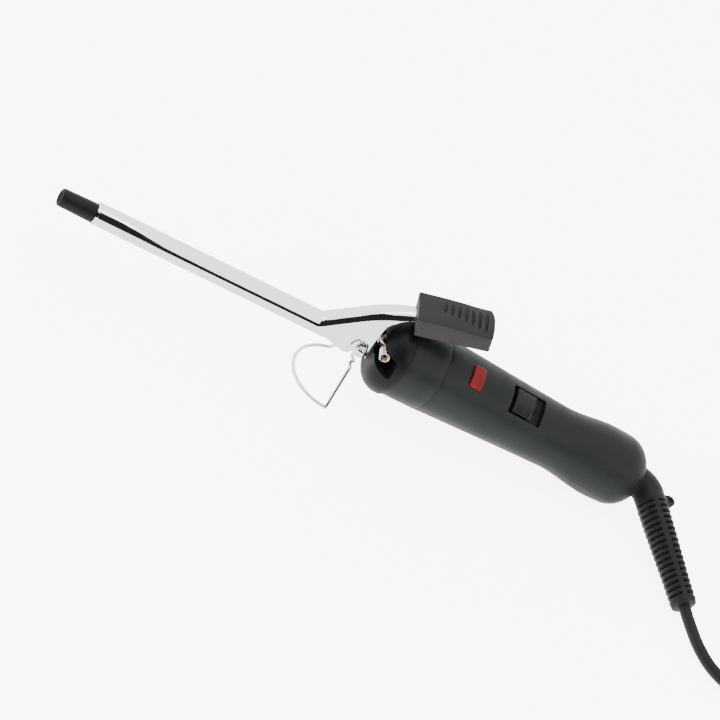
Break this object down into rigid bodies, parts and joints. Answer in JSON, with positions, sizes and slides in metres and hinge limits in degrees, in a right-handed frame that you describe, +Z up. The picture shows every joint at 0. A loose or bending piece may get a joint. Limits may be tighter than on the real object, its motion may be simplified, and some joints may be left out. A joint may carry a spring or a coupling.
{
  "type": "curling iron",
  "caption": "Thin-barrel spring curling iron with a thumb-lever clip, folding wire stand, slide switch, indicator window and swivel cord, resting on its stand.",
  "frame": {"origin": "on the ground plane, below the centre of the iron (free cord left out)", "axes": "+X from the barrel's tip towards the handle's rear, +Z up, +Y completes the right-handed frame; the controls face up and towards -Y"},
  "size_m": [0.4304, 0.1241, 0.065],
  "materials": {
    "chrome_tube": "bright polished plating",
    "tip_resin": "heat-proof black resin, satin",
    "ceramic_core": "unglazed",
    "winding_wire": "dull resistance wire",
    "mica": "wrapped insulation sheet",
    "chrome_clip": "bright polished plating",
    "lever_resin": "satin charcoal, lightly worn",
    "pin_steel": "plated",
    "bush_brass": "dull",
    "spring_steel": "plated spring wire",
    "stand_wire": "plated wire",
    "nose_resin": "near-black heat-proof resin",
    "handle_resin": "satin greenish charcoal",
    "screw_steel": "plated",
    "lens_red": "red indicator window",
    "neon_glass": "small lamp",
    "switch_black": "satin black",
    "switch_case": "moulded black case",
    "board": "phenolic board",
    "fuse_case": "bare",
    "lead_insulation": "woven and sleeved leads",
    "hub_resin": "satin",
    "brush_copper": "spring copper",
    "relief_rubber": "soft black, satin",
    "cord_jacket": "black flexible jacket",
    "tie_strip": "plain black strip",
    "plug_rubber": "moulded black",
    "blade_brass": "nickelled brass"
  },
  "bodies": {
    "handle": {"barrel_tube": "chrome_tube", "barrel_tip": "tip_resin", "heater_core": "ceramic_core", "heater_winding": "winding_wire", "insulation_sleeve": "mica", "pivot_pin": "pin_steel", "spring_bush": "bush_brass", "clip_spring": "spring_steel", "nose_cap": "nose_resin", "front_sleeve": "handle_resin", "upper_shell": "handle_resin", "lower_shell": "handle_resin", "shell_screws": "screw_steel", "indicator_lens": "lens_red", "neon_lamp": "neon_glass", "switch_body": "switch_case", "terminal_board": "board", "thermal_fuse": "fuse_case", "lead_wires": "lead_insulation", "contact_brushes": "brush_copper"},
    "clip": {"clip": "chrome_clip", "thumb_lever": "lever_resin"},
    "stand": {"wire_stand": "stand_wire"},
    "switch": {"switch_slider": "switch_black"},
    "cord_swivel": {"swivel_hub": "hub_resin", "relief_elbow": "relief_rubber", "relief_boot": "relief_rubber", "cord": "cord_jacket", "cord_coil": "cord_jacket", "cord_tie": "tie_strip", "plug_body": "plug_rubber", "plug_blades": "blade_brass"}
  },
  "joints": [
    {"name": "clip_squeeze", "type": "hinge", "parent": "handle", "child": "clip", "pos_m": [0.00348, 0, 0.02687], "axis": [0, 1, 0], "range_deg": [0, 11], "stiffness_Nm_per_rad": 0.43, "springref_deg": -20.05, "deforming": ["clip_spring"]},
    {"name": "stand_fold", "type": "hinge", "parent": "handle", "child": "stand", "pos_m": [0.00348, 0, 0.02687], "axis": [0, 1, 0], "range_deg": [-10, 38]},
    {"name": "switch_slide", "type": "slide", "parent": "handle", "child": "switch", "axis": [0.9952, 0, -0.0976], "range_m": [0, 0.0045]},
    {"name": "cord_turn", "type": "hinge", "parent": "handle", "child": "cord_swivel", "pos_m": [0.13301, 0, 0.01648], "axis": [0.9952, 0, -0.0976], "continuous": true}
  ]
}
